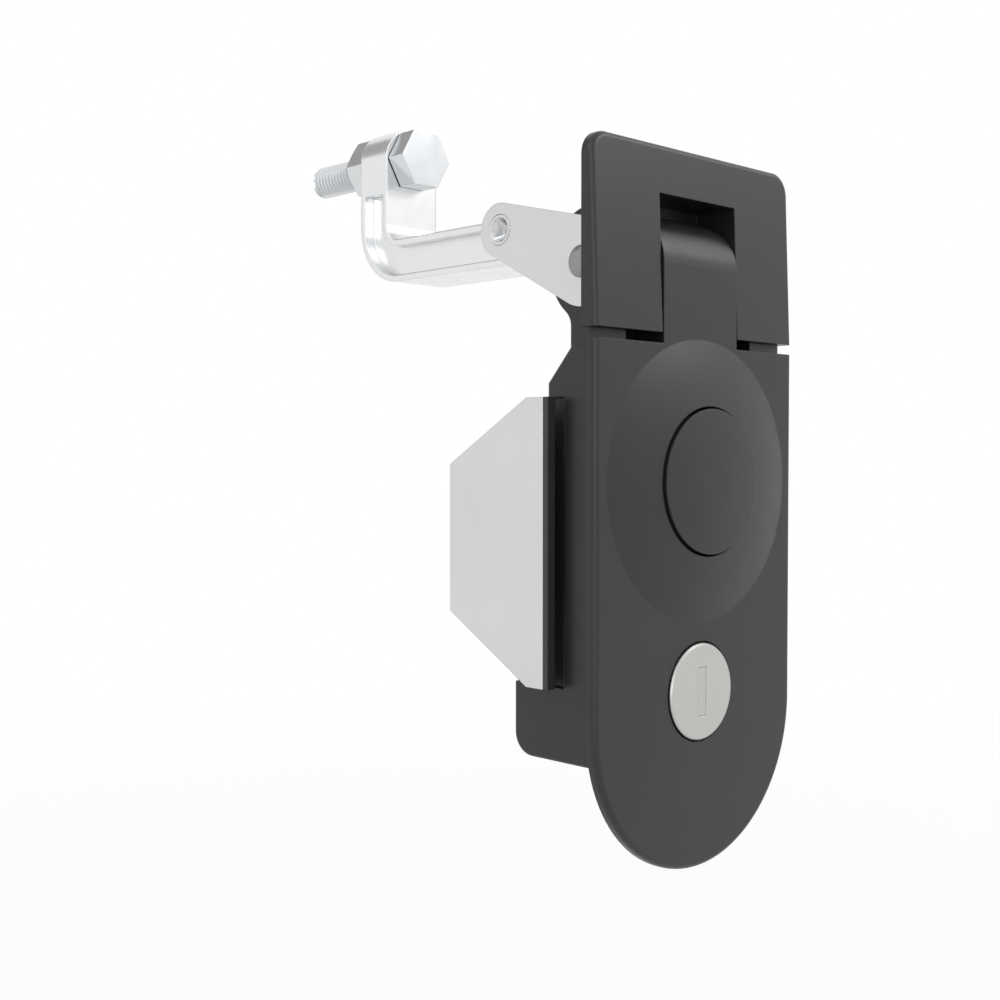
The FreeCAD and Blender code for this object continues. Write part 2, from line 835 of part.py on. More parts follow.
cut_across(
    lever, lambda k: add_circle(k, pin_depth, s.pin_height, s.pin_radius + s.press_gap / 2), s.notch_width
)


# Cover plate that closes the core, and its four screws
lever_cover = new_body("lever_cover")
add_inward(lever_cover, lambda k: core_outline(k, as_size(0)), cover_front, s.cover_thick)
cut_inward(
    lever_cover,
    lambda k: add_circle(k, 0, s.lock_height, s.barrel_radius + s.barrel_clear),
    cover_front - 1,
    s.cover_thick + 2,
)
for side in (-1, 1):
    low_x, high_x = mirrored(leg_inner - s.side_gap, leg_outer + s.side_gap, side)
    low_z = s.button_height + s.leg_bottom - s.side_gap
    high_z = s.button_height + s.leg_top + s.side_gap
    cut_inward(
        lever_cover, lambda k: add_box(k, low_x, high_x, low_z, high_z), cover_front - 1, s.cover_thick + 2
    )
for x, z in posts:
    cut_inward(
        lever_cover,
        lambda k: add_circle(k, x, z, s.cover_screw + 0.2),
        cover_front - 1,
        s.cover_thick + 2,
    )


def make_screws(label, places, seat, shank, head, socket_width):
    """Screws driven from the back: heads on the plane seat, shanks towards the front.

    The shank is a radius and a length, and so is the head."""
    shapes = []
    inward = Vector(0, 1, 0)
    (shank_radius, shank_length), (head_radius, head_height) = shank, head
    drive = socket_width.value
    for x, z in places:
        start = Vector(x.value, seat.value, z.value)
        shank = Part.makeCylinder(shank_radius.value, shank_length.value, start, inward * -1)
        head = Part.makeCone(head_radius.value, head_radius.value * 0.8, head_height.value, start, inward)
        socket = Part.makeBox(drive, drive, drive)
        socket.translate(Vector(-drive / 2, 0, -drive / 2))
        socket.rotate(Vector(), inward, 45)
        socket.translate(start + inward * (head_height.value - drive / 3))
        shapes.append(shank.fuse(head).cut(socket).removeSplitter())
    item = doc.addObject("Part::Feature", label)
    item.Shape = Part.makeCompound(shapes)
    item.Label = label
    return item


cover_screws = make_screws(
    "cover_screws",
    posts,
    cover_back,
    (s.cover_screw, s.cover_thick + s.cover_screw_bite),
    (s.cover_head_radius, s.cover_head),
    s.cover_socket,
)


# Push button: cap that follows the dome, skirt and two wedge legs
push_button = new_body("push_button")
cap_rise = s.dome_rise * (s.button_radius.value / s.dome_radius.value) ** 2
cap_apex = front - s.dome_rise - s.button_proud
skirt_end = as_size(0.2)
turn_profile(
    push_button,
    "Revolution",
    "side",
    lambda k: dome_profile(k, s.button_radius, cap_rise, cap_apex, skirt_end),
    (front, s.button_height),
    (lever_back, s.button_height),
)
cup_start = cap_apex + s.button_wall
cut_inward(
    push_button,
    lambda k: add_circle(k, 0, s.button_height, s.button_radius - s.skirt_wall),
    cup_start,
    skirt_end - cup_start + 1,
)
leg_tip = slide_back + 0.2
leg_ramp = leg_tip - (s.leg_top - s.leg_land)
leg_profile = [
    (cup_start - 0.5, s.button_height + s.leg_bottom),
    (leg_tip, s.button_height + s.leg_bottom),
    (leg_tip, s.button_height + s.leg_land),
    (leg_ramp, s.button_height + s.leg_top),
    (cup_start - 0.5, s.button_height + s.leg_top),
]
for start in (-leg_outer, leg_inner):
    add_sideways(push_button, lambda k: add_polygon(k, leg_profile), start, s.leg_width)


# Catch slide: plate with ramped windows above and a fork with two noses below
catch_slide = new_body("catch_slide")
nose_tip = box_inner_bottom - s.nose_reach
slide_outline = [
    (-slide_half, s.slide_top),
    (-slide_half, s.fork_top + s.slide_flare),
    (-nose_outer, s.fork_top),
    (-nose_outer, nose_tip),
    (-nose_inner, nose_tip),
    (-nose_inner, s.fork_top),
    (nose_inner, s.fork_top),
    (nose_inner, nose_tip),
    (nose_outer, nose_tip),
    (nose_outer, s.fork_top),
    (slide_half, s.fork_top + s.slide_flare),
    (slide_half, s.slide_top),
]
add_inward(catch_slide, lambda k: add_polygon(k, slide_outline), slide_front, s.slide_thick)
ramp_sum = leg_tip + s.button_height + s.leg_land + s.ramp_gap
window_profile = [
    (slide_front - 1, s.button_height + s.leg_bottom - s.button_travel - 0.5),
    (slide_back + 1, s.button_height + s.leg_bottom - s.button_travel - 0.5),
    (slide_back + 1, ramp_sum - slide_back - 1),
    (slide_front - 1, ramp_sum - slide_front + 1),
]
for start in (-leg_outer - s.side_gap, leg_inner - s.side_gap):
    cut_sideways(
        catch_slide,
        lambda k: add_polygon(k, window_profile),
        start,
        s.leg_width + s.side_gap * 2,
    )
spring_clear = s.spring_radius + s.spring_wire
cut_inward(
    catch_slide,
    lambda k: add_box(
        k,
        -spring_clear,
        spring_clear,
        s.button_height - spring_clear - s.button_travel,
        s.button_height + spring_clear,
    ),
    slide_front - 1,
    s.slide_thick + 2,
)
cut_inward(
    catch_slide,
    lambda k: add_box(
        k, -stop_half - s.side_gap, stop_half + s.side_gap, s.catch_seat, s.stop_top + s.side_gap
    ),
    slide_front - 1,
    s.slide_thick + 2,
)


def make_coil(label, wire_radius, mean_radius, length, turns, place):
    """Wire with six flats wound about +Z from the origin, then placed."""
    steps, flats_round = 12, 6
    count = int(turns * steps)
    rings = []
    for i in range(count + 1):
        turn = 2 * math.pi * i / steps
        outward = Vector(math.cos(turn), math.sin(turn), 0)
        centre = outward * mean_radius + Vector(0, 0, length * i / count)
        ring = []
        for j in range(flats_round):
            angle = 2 * math.pi * j / flats_round
            rise = Vector(0, 0, wire_radius * math.sin(angle))
            ring.append(centre + outward * (wire_radius * math.cos(angle)) + rise)
        rings.append(ring)
    faces = [Part.Face(Part.makePolygon(ring + ring[:1])) for ring in (rings[0], rings[-1])]
    for lower, upper in zip(rings, rings[1:]):
        for j in range(flats_round):
            k = (j + 1) % flats_round
            for corners in ((lower[j], lower[k], upper[k]), (lower[j], upper[k], upper[j])):
                faces.append(Part.Face(Part.makePolygon(corners + corners[:1])))
    solid = Part.Solid(Part.Shell(faces))
    if solid.Volume < 0:
        solid.reverse()
    item = doc.addObject("Part::Feature", label)
    item.Shape = solid
    item.Label = label
    item.Placement = place
    return item


cap_inside = cup_start.value
button_spring_length = s.core_depth.value - cap_inside - s.spring_wire.value - 0.1
button_spring = make_coil(
    "button_spring",
    s.spring_wire.value / 2,
    s.spring_radius.value,
    button_spring_length,
    4,
    FreeCAD.Placement(
        Vector(0, cap_inside + s.spring_wire.value / 2 + 0.05, s.button_height.value),
        FreeCAD.Rotation(Vector(1, 0, 0), -90),
    ),
)
catch_spring_base = s.catch_seat.value + s.catch_wire.value / 2 + s.press_gap.value
catch_spring_top = s.stop_top.value - s.stop_thick.value - s.catch_wire.value / 2 - s.press_gap.value
catch_spring_middle = (slide_front + s.slide_thick / 2).value
catch_spring = make_coil(
    "catch_spring",
    s.catch_wire.value / 2,
    s.catch_radius.value,
    catch_spring_top - catch_spring_base,
    5,
    FreeCAD.Placement(Vector(0, catch_spring_middle, catch_spring_base), FreeCAD.Rotation()),
)


# Lock: barrel, plug, clip, cam and the cam's screw
plug_front = front - s.plug_proud
plug_face_back = plug_front + s.plug_face_thick
barrel_start = plug_face_back + 0.1
lock_barrel = new_body("lock_barrel")
add_inward(
    lock_barrel,
    lambda k: add_circle(k, 0, s.lock_height, s.barrel_radius),
    barrel_start,
    barrel_end - barrel_start,
)
cut_inward(
    lock_barrel,
    lambda k: add_circle(k, 0, s.lock_height, s.plug_radius + s.run_gap),
    barrel_start - 1,
    barrel_end - barrel_start + 2,
)


def ring(sketch, outer, inner):
    add_circle(sketch, 0, s.lock_height, outer)
    add_circle(sketch, 0, s.lock_height, inner)


cut_inward(
    lock_barrel,
    lambda k: ring(k, s.barrel_radius + 1, s.barrel_radius - s.clip_groove),
    cover_back + 0.05,
    s.clip_thick,
)
lock_clip = new_body("lock_clip")
add_inward(
    lock_clip,
    lambda k: ring(k, s.clip_radius, s.barrel_radius - s.clip_groove + 0.05),
    cover_back + 0.07,
    s.clip_thick - 0.04,
)
clip_mouth = s.barrel_radius - s.clip_groove
clip_top = s.lock_height + s.clip_radius + 1
cut_inward(
    lock_clip,
    lambda k: add_box(k, -clip_mouth * 0.8, clip_mouth * 0.8, s.lock_height, clip_top),
    cover_back - 1,
    s.clip_thick + 2,
)
lock_plug = new_body("lock_plug")
add_inward(
    lock_plug, lambda k: add_circle(k, 0, s.lock_height, s.plug_face_radius), plug_front, s.plug_face_thick
)
soften(lock_plug, "Chamfer", as_size(0.25), lambda e: near(middle(e).y, plug_front))
add_inward(
    lock_plug,
    lambda k: add_circle(k, 0, s.lock_height, s.plug_radius),
    plug_face_back - 0.2,
    barrel_end - plug_face_back + 0.2,
)
square_half = s.cam_square / 2
add_inward(
    lock_plug,
    lambda k: add_box(
        k, -square_half, square_half, s.lock_height - square_half, s.lock_height + square_half
    ),
    barrel_end - 0.2,
    s.cam_thick + 0.4,
)
cut_inward(
    lock_plug,
    lambda k: add_box(
        k,
        -s.key_width / 2,
        s.key_width / 2,
        s.lock_height - s.key_height / 2,
        s.lock_height + s.key_height / 2,
    ),
    plug_front - 1,
    s.key_depth + 1,
)
cut_inward(
    lock_plug,
    lambda k: add_circle(k, 0, s.lock_height, s.cam_screw + s.press_gap),
    cam_back - s.cam_screw_length - 0.5,
    s.cam_screw_length + 1.5,
)
lock_cam = new_body("lock_cam")
add_inward(
    lock_cam,
    lambda k: add_tear_drop(
        k,
        (0, s.lock_height),
        s.cam_half + 1.2,
        (0, s.lock_height + cam_reach - s.cam_half),
        s.cam_half,
    ),
    cam_front,
    s.cam_thick,
)
hole_half = square_half + 0.03
cut_inward(
    lock_cam,
    lambda k: add_box(k, -hole_half, hole_half, s.lock_height - hole_half, s.lock_height + hole_half),
    cam_front - 1,
    s.cam_thick + 2,
)
cam_screw = make_screws(
    "cam_screw",
    [(as_size(0), s.lock_height)],
    cam_back,
    (s.cam_screw, s.cam_screw_length),
    (s.cam_head_radius, s.cam_head),
    s.cam_socket,
)


# Main pin: round in the ears, two flats in the lever's hub and in the links
main_pin = new_body("main_pin")
pin_left = -link_outer - s.pin_dome
pin_right = link_outer
add_sideways(
    main_pin, lambda k: add_circle(k, pin_depth, s.pin_height, s.pin_radius), pin_left, pin_right - pin_left
)


def flats(sketch):
    low, high = s.pin_height - s.pin_radius - 1, s.pin_height + s.pin_radius + 1
    y0, y1 = pin_depth - s.pin_radius - 1, pin_depth + s.pin_radius + 1
    add_box(sketch, y0, y1, low, s.pin_height - s.pin_flats / 2)
    add_box(sketch, y0, y1, s.pin_height + s.pin_flats / 2, high)


cut_sideways(main_pin, flats, -link_outer, s.link_thick)
cut_sideways(main_pin, flats, link_inner, s.link_thick + 0.01)
add_sideways(
    main_pin,
    lambda k: add_circle(k, pin_depth, s.pin_height, s.pin_head_radius),
    link_outer,
    s.pin_dome * 1.2,
)
soften(main_pin, "Chamfer", s.pin_dome * 0.6, lambda e: near(middle(e).x, link_outer + s.pin_dome * 1.2))
soften(main_pin, "Chamfer", s.pin_dome * 0.6, lambda e: near(middle(e).x, pin_left))


# Links: tear-drop plates, keyed on the main pin's flats
def make_link(label, start):
    link = new_body(label)
    add_sideways(
        link,
        lambda k: add_tear_drop(
            k, (pin_depth, s.pin_height), s.link_big, (rivet_depth, rivet_height), s.link_small
        ),
        start,
        s.link_thick,
    )
    cut_sideways(link, lambda k: flat_bore(k, s.press_gap), start - 1, s.link_thick + 2)
    hole = s.rivet_radius + s.press_gap
    cut_sideways(
        link, lambda k: add_circle(k, rivet_depth, rivet_height, hole), start - 1, s.link_thick + 2
    )
    outer = link_outer.value if start.value > 0 else -link_outer.value
    flare = s.rivet_flare - s.rivet_radius
    soften(
        link,
        "Chamfer",
        flare,
        lambda e: near(middle(e).x, outer) and e.Closed and near(e.Curve.Radius, hole),
    )


make_link("link_left", -link_outer)
make_link("link_right", link_inner)


# Hollow rivet that carries the hook, with flared ends in the links' countersinks
hook_rivet = new_body("hook_rivet")
add_across(
    hook_rivet, lambda k: add_circle(k, rivet_depth, rivet_height, s.rivet_radius), link_outer * 2
)
flare = s.rivet_flare - s.rivet_radius


def flare_section(sketch, side):
    """Triangle that widens the rivet's end into the countersink, and the cup that opens it."""
    out, into = link_outer * side, (link_outer - flare + 0.03) * side
    add_polygon(
        sketch,
        [
            (out, rivet_depth + s.rivet_radius / 2),
            (out, rivet_depth + s.rivet_flare - 0.03),
            (into, rivet_depth + s.rivet_radius),
            (into, rivet_depth + s.rivet_radius / 2),
        ],
    )


def cup_section(sketch, side):
    out, into = (link_outer + 0.5) * side, (link_outer - s.rivet_cup) * side
    add_polygon(
        sketch,
        [
            (out, rivet_depth),
            (out, rivet_depth + s.rivet_flare - 0.25),
            (into, rivet_depth + s.rivet_radius * 0.45),
            (into, rivet_depth),
        ],
    )


def turned_about_rivet(body, kind, outline):
    sketch = body.newObject("Sketcher::SketchObject", f"{body.Label}_top")
    plane = [item for item in body.Origin.OriginFeatures if item.Role == "XY_Plane"][0]
    sketch.AttachmentSupport = (plane, [""])
    sketch.MapMode = "FlatFace"
    sketch.AttachmentOffset = FreeCAD.Placement(Vector(0, 0, rivet_height.value), FreeCAD.Rotation())
    bind(sketch, "AttachmentOffset.Base.z", rivet_height)
    outline(sketch)
    ends = [(-link_outer, rivet_depth), (link_outer, rivet_depth)]
    line = Part.LineSegment(*[Vector(x.value, y.value, 0) for x, y in ends])
    axis = sketch.addGeometry(line, True)
    for index, (x, y) in enumerate(ends, start=1):
        pin_point(sketch, axis, index, x, y)
    feature = body.newObject(f"PartDesign::{kind}", f"{body.Label}_{kind}")
    feature.Profile = sketch
    feature.ReferenceAxis = (sketch, ["Axis0"])
    feature.Angle = 360
    doc.recompute()
    return feature


for side in (-1, 1):
    turned_about_rivet(hook_rivet, "Revolution", lambda k: flare_section(k, side))
    turned_about_rivet(hook_rivet, "Groove", lambda k: cup_section(k, side))


# Spacer sleeves on the rivet, either side of the hook
def make_spacer(label, start, length):
    spacer = new_body(label)

    def outline(sketch):
        add_circle(sketch, rivet_depth, rivet_height, s.spacer_radius)
        add_circle(sketch, rivet_depth, rivet_height, s.rivet_radius + s.press_gap)

    add_sideways(spacer, outline, start, length)


hook_half = s.hook_width / 2
spacer_length = link_inner - hook_half - s.side_gap
make_spacer("spacer_left", -link_inner, spacer_length)
make_spacer("spacer_right", hook_half + s.side_gap, spacer_length)
hook_spring_start = -(hook_half + s.side_gap + s.hook_wire * 8.2)
hook_spring = make_coil(
    "hook_spring",
    s.hook_wire.value / 2,
    s.spacer_radius.value + s.hook_wire.value / 2 + 0.1,
    s.hook_wire.value * 7.5,
    5,
    FreeCAD.Placement(
        Vector(hook_spring_start.value, rivet_depth.value, rivet_height.value),
        FreeCAD.Rotation(Vector(0, 1, 0), 90),
    ),
)


# Hook: cast L-shaped arm with pocketed sides, barrel at one end and round eye at the other
hook = new_body("hook")
hook_low = rivet_height - s.hook_drop
hook_high = hook_low + s.hook_arm
hook_rear = s.hook_face + s.hook_arm


def hook_outline(sketch, inset, start_y, eye_top):
    """Side view of the L, as a polygon whose two bends are rounded afterwards."""
    add_polygon(
        sketch,
        [
            (start_y, hook_low + inset),
            (hook_rear - inset, hook_low + inset),
            (hook_rear - inset, eye_top),
            (s.hook_face + inset, eye_top),
            (s.hook_face + inset, hook_high - inset),
            (start_y, hook_high - inset),
        ],
    )


add_across(
    hook,
    lambda k: hook_outline(k, as_size(0), rivet_depth, s.bolt_height),
    s.hook_width,
)
soften(
    hook,
    "Fillet",
    s.hook_bend,
    lambda e: along(e, "x") and near(middle(e).y, hook_rear) and near(middle(e).z, hook_low),
)
soften(
    hook,
    "Fillet",
    s.hook_inner_bend,
    lambda e: along(e, "x") and near(middle(e).y, s.hook_face) and near(middle(e).z, hook_high),
)
add_across(hook, lambda k: add_circle(k, rivet_depth, rivet_height, s.hook_barrel), s.hook_width)
add_inward(
    hook, lambda k: add_circle(k, 0, s.bolt_height, hook_half), s.hook_face, hook_rear - s.hook_face
)


def hook_pocket(side):
    """Sunk web on one side of the arm, following both legs and the bend."""
    start_y = rivet_depth + s.hook_barrel + 1.5
    top = s.bolt_height - hook_half - 0.5
    inset = s.hook_flange
    outer_r = s.hook_bend - inset
    inner_r = s.hook_inner_bend + inset
    y0, y1, y2 = start_y, s.hook_face + inset, hook_rear - inset
    z0, z1, z2 = hook_low + inset, hook_high - inset, top
    floor = (hook_half - s.hook_pocket) * side
    sketch = new_sketch(hook, "side", floor)
    corners = [
        (y0, z0),
        (y2 - outer_r, z0),
        (y2, z0 + outer_r),
        (y2, z2),
        (y1, z2),
        (y1, z1 + inner_r),
        (y1 - inner_r, z1),
        (y0, z1),
    ]
    values = [Vector(y.value, z.value, 0) for y, z in corners]
    centre_out = Vector((y2 - outer_r).value, (z0 + outer_r).value, 0)
    centre_in = Vector((y1 - inner_r).value, (z1 + inner_r).value, 0)
    out_circle = Part.Circle(centre_out, Vector(0, 0, 1), outer_r.value)
    in_circle = Part.Circle(centre_in, Vector(0, 0, 1), inner_r.value)
    pieces = [
        Part.LineSegment(values[0], values[1]),
        Part.ArcOfCircle(out_circle, -math.pi / 2, 0),
        Part.LineSegment(values[2], values[3]),
        Part.LineSegment(values[3], values[4]),
        Part.LineSegment(values[4], values[5]),
        Part.ArcOfCircle(in_circle, -math.pi / 2, 0),
        Part.LineSegment(values[6], values[7]),
        Part.LineSegment(values[7], values[0]),
    ]
    ids = [sketch.addGeometry(piece, False) for piece in pieces]
    for a in range(8):
        b = (a + 1) % 8
        end_a, end_b = 1 if a == 5 else 2, 2 if b == 5 else 1
        kind = "Tangent" if 1 in (a, b) or 5 in (a, b) else "Coincident"
        sketch.addConstraint(Sketcher.Constraint(kind, ids[a], end_a, ids[b], end_b))
    for index in (0, 3, 6):
        sketch.addConstraint(Sketcher.Constraint("Horizontal", ids[index]))
    for index in (2, 4, 7):
        sketch.addConstraint(Sketcher.Constraint("Vertical", ids[index]))
    pin_point(sketch, ids[0], 1, y0, z0)
    pin_point(sketch, ids[3], 1, y2, z2)
    place = sketch.addConstraint(Sketcher.Constraint("DistanceX", -1, 1, ids[4], 1, y1.value))
    sketch.setExpression(f"Constraints[{place}]", y1.text)
    place = sketch.addConstraint(Sketcher.Constraint("DistanceY", -1, 1, ids[6], 2, z1.value))
    sketch.setExpression(f"Constraints[{place}]", z1.text)
    for arc, radius in ((ids[1], outer_r), (ids[5], inner_r)):
        index = sketch.addConstraint(Sketcher.Constraint("Radius", arc, radius.value))
        sketch.setExpression(f"Constraints[{index}]", radius.text)
    return extrude(hook, sketch, s.hook_pocket + 1, "Pocket", reversed_side=side > 0)


hook_pocket(-1)
hook_pocket(1)
cut_across(
    hook, lambda k: add_circle(k, rivet_depth, rivet_height, s.rivet_radius + s.run_gap), s.hook_width + 2
)
cut_inward(
    hook,
    lambda k: add_circle(k, 0, s.bolt_height, s.bolt_radius + s.run_gap),
    s.hook_face - 1,
    hook_rear - s.hook_face + 2,
)


# Adjusting bolt and its lock nut
def hexagon(sketch, flats_size, height):
    """Six sides with corners to the left and right."""
    corner = flats_size / 2 / math.cos(math.pi / 6)
    points = []
    for step in range(6):
        angle = step * math.pi / 3
        x = corner * round(math.cos(angle), 9)
        z = height + corner * round(math.sin(angle), 9)
        points.append((x, z))
    add_polygon(sketch, points)


def chamfer_hexagon(body, face, back, outward):
    """Turn the corners of a hexagon's end down to a 30 degree cone."""
    corner = s.bolt_flats / 2 / math.cos(math.pi / 6)
    flat = s.bolt_flats / 2
    drop = (corner - flat) * math.tan(math.pi / 6)
    sketch = new_sketch(body, "side")
    add_polygon(
        sketch,
        [
            (face, s.bolt_height + flat * 0.96),
            (face + (drop + (flat - flat * 0.96) * 0.6) * outward, s.bolt_height + corner + 0.2),
            (face - as_size(1) * outward, s.bolt_height + corner + 0.2),
            (face - as_size(1) * outward, s.bolt_height + flat * 0.96),
        ],
    )
    axis = sketch.addGeometry(
        Part.LineSegment(
            Vector(face.value, s.bolt_height.value, 0), Vector(back.value, s.bolt_height.value, 0)
        ),
        True,
    )
    pin_point(sketch, axis, 1, face, s.bolt_height)
    pin_point(sketch, axis, 2, back, s.bolt_height)
    groove = body.newObject("PartDesign::Groove", f"{body.Label}_Groove")
    groove.Profile = sketch
    groove.ReferenceAxis = (sketch, ["Axis0"])
    groove.Angle = 360
    doc.recompute()


adjusting_bolt = new_body("adjusting_bolt")
head_back = s.hook_face - s.washer_face
head_front = head_back - s.bolt_head
add_inward(adjusting_bolt, lambda k: hexagon(k, s.bolt_flats, s.bolt_height), head_front, s.bolt_head)
chamfer_hexagon(adjusting_bolt, head_front, head_back, 1)
add_inward(
    adjusting_bolt,
    lambda k: add_circle(k, 0, s.bolt_height, s.bolt_flats * 0.44),
    head_back - 0.2,
    s.washer_face + 0.2,
)
add_inward(
    adjusting_bolt,
    lambda k: add_circle(k, 0, s.bolt_height, s.bolt_radius),
    head_back - 0.2,
    s.bolt_length + s.washer_face + 0.2,
)
soften(
    adjusting_bolt,
    "Chamfer",
    s.tip_chamfer,
    lambda e: near(middle(e).y, s.hook_face + s.bolt_length),
)
lock_nut = new_body("lock_nut")
nut_front = hook_rear + s.press_gap
nut_back = nut_front + s.nut_thick
add_inward(lock_nut, lambda k: hexagon(k, s.bolt_flats, s.bolt_height), nut_front, s.nut_thick)
chamfer_hexagon(lock_nut, nut_back, nut_front, -1)
cut_inward(
    lock_nut,
    lambda k: add_circle(k, 0, s.bolt_height, s.bolt_radius + s.run_gap),
    nut_front - 1,
    s.nut_thick + 2,
)


# Mounting bracket: folded U with tapered arms, two screw holes in its back
mounting_bracket = new_body("mounting_bracket")
arm_profile = [
    (s.bracket_front, s.bracket_bottom),
    (s.bracket_knee, s.bracket_bottom),
    (s.bracket_back, s.bracket_back_bottom),
    (s.bracket_back, s.bracket_back_top),
    (s.bracket_knee, s.bracket_top),
    (s.bracket_front, s.bracket_top),
]
add_across(mounting_bracket, lambda k: add_polygon(k, arm_profile), arm_outer * 2)
soften(
    mounting_bracket,
    "Fillet",
    s.bracket_bend,
    lambda e: along(e, "z") and near(middle(e).y, s.bracket_back),
)
inside = [
    (-arm_inner, s.bracket_front - 1),
    (arm_inner, s.bracket_front - 1),
    (arm_inner, inner_back),
    (-arm_inner, inner_back),
]
hollow = new_sketch(mounting_bracket, "top", s.bracket_bottom - 1)
add_polygon(hollow, inside)
extrude(mounting_bracket, hollow, s.bracket_top - s.bracket_bottom + 2, "Pocket", reversed_side=True)
for x in screw_places:
    cut_inward(
        mounting_bracket,
        lambda k: add_circle(k, x, s.screw_height, s.screw_radius + 0.25),
        inner_back - 1,
        s.bracket_plate + 2,
    )


def make_pad(label, start):
    pad = new_body(label)
    pad_front = s.bracket_front - s.pad_thick
    add_sideways(
        pad,
        lambda k: add_box(k, pad_front, s.bracket_front, s.bracket_bottom, s.bracket_top),
        start,
        s.bracket_plate,
    )


make_pad("bracket_pad_left", -arm_outer)
make_pad("bracket_pad_right", arm_inner)
bracket_screws = make_screws(
    "bracket_screws",
    [(x, s.screw_height) for x in screw_places],
    s.bracket_back,
    (s.screw_radius - s.press_gap, s.bracket_plate + s.screw_bite - 0.5),
    (s.screw_head_radius, s.screw_head),
    s.screw_socket,
)


# Check every object, then write each piece
doc.recompute()
for item in doc.Objects:
    if "Invalid" in item.State or "Error" in item.State:
        raise RuntimeError(f"{item.Name} failed: {item.State}")
pieces = [item for item in doc.Objects if item.TypeId == "PartDesign::Body"]
pieces += [cover_screws, cam_screw, bracket_screws, button_spring, catch_spring, hook_spring]
os.makedirs("parts", exist_ok=True)
for piece in pieces:
    shape = piece.Shape
    if shape.isNull() or not shape.isValid():
        raise RuntimeError(f"{piece.Label} has no valid shape")
    shape.exportStep(f"parts/{piece.Label}.step")
    print(piece.Label, len(shape.Solids), round(shape.Volume, 1))
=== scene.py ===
import math
import bmesh
import bpy
from mathutils import Matrix, Vector


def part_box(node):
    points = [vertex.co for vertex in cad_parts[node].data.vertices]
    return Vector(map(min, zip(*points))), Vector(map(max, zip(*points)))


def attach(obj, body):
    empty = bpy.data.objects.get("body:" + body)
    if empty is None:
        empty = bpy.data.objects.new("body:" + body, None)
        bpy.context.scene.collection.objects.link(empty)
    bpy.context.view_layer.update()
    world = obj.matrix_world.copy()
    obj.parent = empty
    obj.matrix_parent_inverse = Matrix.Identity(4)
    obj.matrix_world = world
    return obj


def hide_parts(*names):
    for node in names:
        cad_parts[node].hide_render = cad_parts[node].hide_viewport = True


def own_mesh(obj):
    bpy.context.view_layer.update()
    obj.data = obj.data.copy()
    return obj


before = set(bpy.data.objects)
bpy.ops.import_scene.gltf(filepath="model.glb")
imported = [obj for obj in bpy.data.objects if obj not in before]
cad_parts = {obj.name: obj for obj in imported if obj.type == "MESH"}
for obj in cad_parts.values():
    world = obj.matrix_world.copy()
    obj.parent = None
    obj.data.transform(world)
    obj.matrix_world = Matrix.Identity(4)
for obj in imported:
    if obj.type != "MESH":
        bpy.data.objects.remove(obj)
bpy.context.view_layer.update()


# Housing: one moulding of glass-filled polyamide 6, black right through, from a finely eroded steel
# mould. The skin is satin and never quite even, and the corners are rounded a quarter of a millimetre.
MM = 0.001
FLOW_MM = 11
SKIN_PATCH_MM = 4
GLOSS_DRIFT = 0.03
NOISE_LOW = 0.3
NOISE_HIGH = 0.7
GRAIN_MM = 0.14
GRAIN_DEPTH_MM = 0.012
GRAIN_STRENGTH = 0.12


def linear(code):
    """A #rrggbb colour as linear light."""
    parts = [int(code[i:i + 2], 16) / 255 for i in (1, 3, 5)]
    return [c / 12.92 if c <= 0.04045 else ((c + 0.055) / 1.055) ** 2.4 for c in parts] + [1.0]


def add(tree, kind, links=None, **settings):
    """A node, its settings and input values by name, and the sockets that feed it."""
    node = tree.nodes.new(kind)
    for name, value in settings.items():
        if hasattr(node, name):
            setattr(node, name, value)
        else:
            node.inputs[name.replace("_", " ")].default_value = value
    for target, source in (links or {}).items():
        tree.links.new(source, node.inputs[target])
    return node


def new_material(name):
    """An empty material, its node tree, and the place on the object that patterns read."""
    material = bpy.data.materials.new(name)
    material.use_nodes = True
    tree = material.node_tree
    tree.nodes.clear()
    return material, tree, add(tree, "ShaderNodeTexCoord").outputs["Object"]


def clouded_colour(tree, place, dark, light, size_mm):
    """Colour that drifts between two shades over about size_mm."""
    cloud = add(tree, "ShaderNodeTexNoise", {"Vector": place}, Scale=1 / (size_mm * MM), Detail=2.0)
    colour = add(tree, "ShaderNodeMix", {"Factor": cloud.outputs["Fac"]}, data_type="RGBA")
    colour.inputs["A"].default_value = linear(dark)
    colour.inputs["B"].default_value = linear(light)
    return colour.outputs["Result"]


def uneven_gloss(tree, place, rough, size_mm, detail):
    """Roughness that wavers round its middle value over about size_mm."""
    patch = add(tree, "ShaderNodeTexNoise", {"Vector": place}, Scale=1 / (size_mm * MM), Detail=detail)
    gloss = add(
        tree, "ShaderNodeMapRange", {"Value": patch.outputs["Fac"]},
        From_Min=NOISE_LOW, From_Max=NOISE_HIGH, To_Min=rough - GLOSS_DRIFT, To_Max=rough + GLOSS_DRIFT,
    )
    return gloss.outputs["Result"]


def close_surface(tree, colour, gloss, relief, strength, depth_mm, corner_mm, **settings):
    """The shader of a material, with rounded corners and fine relief, led to its output."""
    corner = add(tree, "ShaderNodeBevel", samples=4, Radius=corner_mm * MM)
    skin = add(
        tree, "ShaderNodeBump", {"Height": relief.outputs["Fac"], "Normal": corner.outputs["Normal"]},
        Strength=strength, Distance=depth_mm * MM,
    )
    shader = add(
        tree, "ShaderNodeBsdfPrincipled",
        {"Base Color": colour, "Roughness": gloss, "Normal": skin.outputs["Normal"]},
        **settings,
    )
    add(tree, "ShaderNodeOutputMaterial", {"Surface": shader.outputs["BSDF"]})


